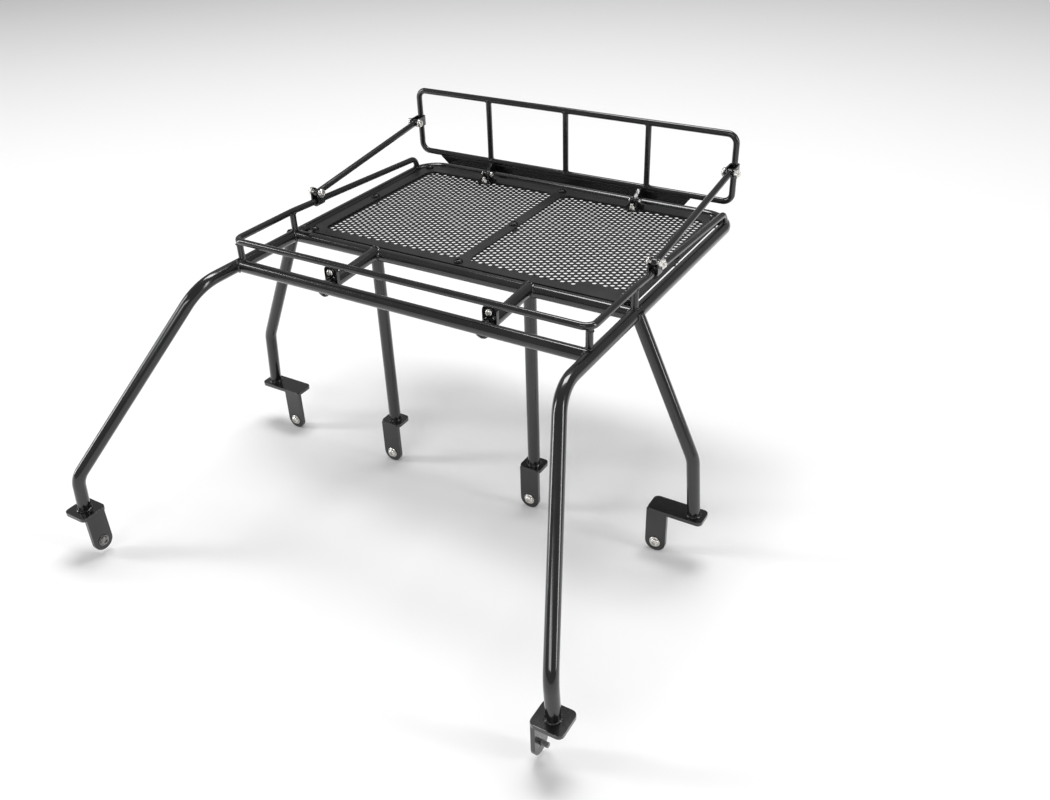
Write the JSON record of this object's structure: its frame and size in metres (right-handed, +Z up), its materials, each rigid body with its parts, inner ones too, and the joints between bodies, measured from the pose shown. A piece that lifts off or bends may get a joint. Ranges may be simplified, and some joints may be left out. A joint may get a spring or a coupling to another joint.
{
  "type": "roof cargo rack",
  "caption": "Welded tube roof rack for a pickup bed: splayed legs on foot plates, perforated floor in a rim, side rails, and a barred front hoop on folding side struts.",
  "frame": {"origin": "in the plane of the foot plates' undersides, below the middle crossbar's axis and halfway between the side tubes", "axes": "+X to the truck's right, +Y forward, +Z up"},
  "size_m": [0.1692, 0.1639, 0.1045],
  "materials": {
    "frame_paint": "gloss black paint",
    "panel_paint": "satin black paint",
    "black_screws": "black oxide",
    "bright_screws": "bright zinc plate"
  },
  "bodies": {
    "rack": {"base_clevis_left": "frame_paint", "base_clevis_right": "frame_paint", "brace_left": "frame_paint", "brace_right": "frame_paint", "centre_foot_left": "frame_paint", "centre_foot_right": "frame_paint", "centre_leg_left": "frame_paint", "centre_leg_right": "frame_paint", "floor_rim": "panel_paint", "floor_screw_front_left": "black_screws", "floor_screw_front_right": "black_screws", "floor_screw_middle_left": "black_screws", "floor_screw_middle_right": "black_screws", "floor_screw_rear_left": "black_screws", "floor_screw_rear_right": "black_screws", "floor_sheet": "panel_paint", "front_crossbar": "frame_paint", "hinge_screw_left": "bright_screws", "hinge_screw_right": "bright_screws", "lamp_tab_left": "frame_paint", "lamp_tab_right": "frame_paint", "lamp_tab_screw_left": "bright_screws", "lamp_tab_screw_right": "bright_screws", "mid_foot_left": "frame_paint", "mid_foot_right": "frame_paint", "mid_leg_left": "frame_paint", "mid_leg_right": "frame_paint", "middle_crossbar": "frame_paint", "middle_post_left": "frame_paint", "middle_post_right": "frame_paint", "rail_clevis_left": "frame_paint", "rail_clevis_right": "frame_paint", "rear_crossbar": "frame_paint", "rear_foot_left": "frame_paint", "rear_foot_right": "frame_paint", "rear_post_left": "frame_paint", "rear_post_right": "frame_paint", "side_tube_left": "frame_paint", "side_tube_right": "frame_paint", "upper_rail": "frame_paint"},
    "hoop": {"hinge_lug_left": "frame_paint", "hinge_lug_right": "frame_paint", "hoop_baffle": "frame_paint", "hoop_clevis_left": "frame_paint", "hoop_clevis_right": "frame_paint", "hoop_loop": "frame_paint", "hoop_rod_centre": "frame_paint", "hoop_rod_left": "frame_paint", "hoop_rod_right": "frame_paint", "strut_nut_high_left": "bright_screws", "strut_nut_high_right": "bright_screws", "strut_screw_high_left": "bright_screws", "strut_screw_high_right": "bright_screws"},
    "strut_left": {"strut_left": "frame_paint", "strut_screw_low_left": "bright_screws", "strut_nut_low_left": "bright_screws"},
    "strut_right": {"strut_right": "frame_paint", "strut_screw_low_right": "bright_screws", "strut_nut_low_right": "bright_screws"}
  },
  "joints": [
    {"name": "hoop_fold", "type": "hinge", "parent": "rack", "child": "hoop", "pos_m": [0, 0.0665, 0.0651], "axis": [1, 0, 0], "range_deg": [0, 70]},
    {"name": "strut_left_swing", "type": "hinge", "parent": "hoop", "child": "strut_left", "pos_m": [-0.0593, 0.0679, 0.0788], "axis": [1, 0, 0], "range_deg": [-80, 0]},
    {"name": "strut_right_swing", "type": "hinge", "parent": "hoop", "child": "strut_right", "pos_m": [0.0593, 0.0679, 0.0788], "axis": [1, 0, 0], "range_deg": [-80, 0]}
  ],
  "couplings": [
    {"joint": "strut_left_swing", "follows": "hoop_fold", "ratio": -1.134},
    {"joint": "strut_right_swing", "follows": "hoop_fold", "ratio": -1.134}
  ]
}
